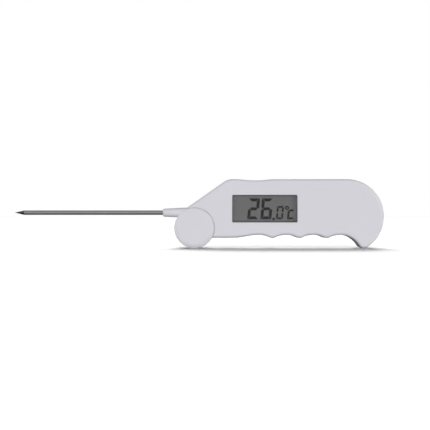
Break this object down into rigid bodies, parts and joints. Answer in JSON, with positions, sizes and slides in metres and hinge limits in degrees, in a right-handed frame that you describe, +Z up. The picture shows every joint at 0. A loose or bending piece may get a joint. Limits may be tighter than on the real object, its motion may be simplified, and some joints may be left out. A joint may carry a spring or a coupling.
{
  "type": "meat thermometer",
  "caption": "Folding probe thermometer: white two-shell grip with a window display, finger scallops and a hook butt, and a pointed steel needle that folds out of a round hub.",
  "frame": {"origin": "bottom centre of the whole object's box, with the probe straight out and the grip standing on its hub and hook", "axes": "+X along the object from the needle's point to the butt, +Y from the display face to the battery side, +Z up"},
  "size_m": [0.2709, 0.019, 0.0505],
  "materials": {
    "white_moulding": "satin",
    "needle_steel": "brushed",
    "fastener_steel": "satin",
    "cell_steel": "brushed",
    "seal_rubber": "matt",
    "clear_lens": "clear",
    "display_film": "satin",
    "board": "solder mask",
    "black_resin": "satin",
    "contact_brass": "plain",
    "lead_insulation": "plain",
    "label_film": "satin"
  },
  "bodies": {
    "housing": {"front_housing": "white_moulding", "rear_housing": "white_moulding", "housing_gasket": "seal_rubber", "display_lens": "clear_lens", "lcd_polariser": "display_film", "lcd_front_glass": "clear_lens", "lcd_rear_glass": "clear_lens", "lcd_reflector": "display_film", "lcd_frame": "white_moulding", "zebra_strip_upper": "seal_rubber", "zebra_strip_lower": "seal_rubber", "circuit_board": "board", "controller_chip": "black_resin", "timing_crystal": "cell_steel", "reservoir_capacitor": "black_resin", "reed_switch": "clear_lens", "unit_switch_body": "black_resin", "coin_cell": "cell_steel", "battery_holder": "black_resin", "battery_contact_positive": "contact_brass", "battery_contact_negative": "contact_brass", "battery_cover_seal": "seal_rubber", "rear_label": "label_film", "board_lead_1": "lead_insulation", "board_lead_2": "lead_insulation", "case_screw_1": "fastener_steel", "case_screw_2": "fastener_steel", "case_screw_3": "fastener_steel", "case_screw_4": "fastener_steel", "case_screw_5": "fastener_steel", "board_screw_1": "fastener_steel", "board_screw_2": "fastener_steel", "board_screw_3": "fastener_steel"},
    "probe": {"probe_arm": "white_moulding", "hub_front_cap": "white_moulding", "hub_rear_cap": "white_moulding", "hub_screw": "fastener_steel", "hub_seal_front": "seal_rubber", "hub_seal_rear": "seal_rubber", "friction_washer": "fastener_steel", "wake_magnet": "fastener_steel", "probe_tube": "needle_steel", "probe_tip": "needle_steel", "thermistor": "black_resin", "probe_lead_1": "lead_insulation", "probe_lead_2": "lead_insulation"},
    "battery_cover": {"battery_cover": "white_moulding"},
    "unit_slider": {"unit_switch_slider": "white_moulding"}
  },
  "joints": [
    {"name": "probe_fold", "type": "hinge", "parent": "housing", "child": "probe", "pos_m": [-0.00293, 0, 0.01475], "axis": [0, -1, 0], "range_deg": [0, 183]},
    {"name": "battery_cover_turn", "type": "hinge", "parent": "housing", "child": "battery_cover", "pos_m": [0.10207, 0, 0.03], "axis": [0, 1, 0], "range_deg": [0, 45]},
    {"name": "unit_slide", "type": "slide", "parent": "housing", "child": "unit_slider", "axis": [1, 0, 0], "range_m": [0, 0.002]}
  ]
}
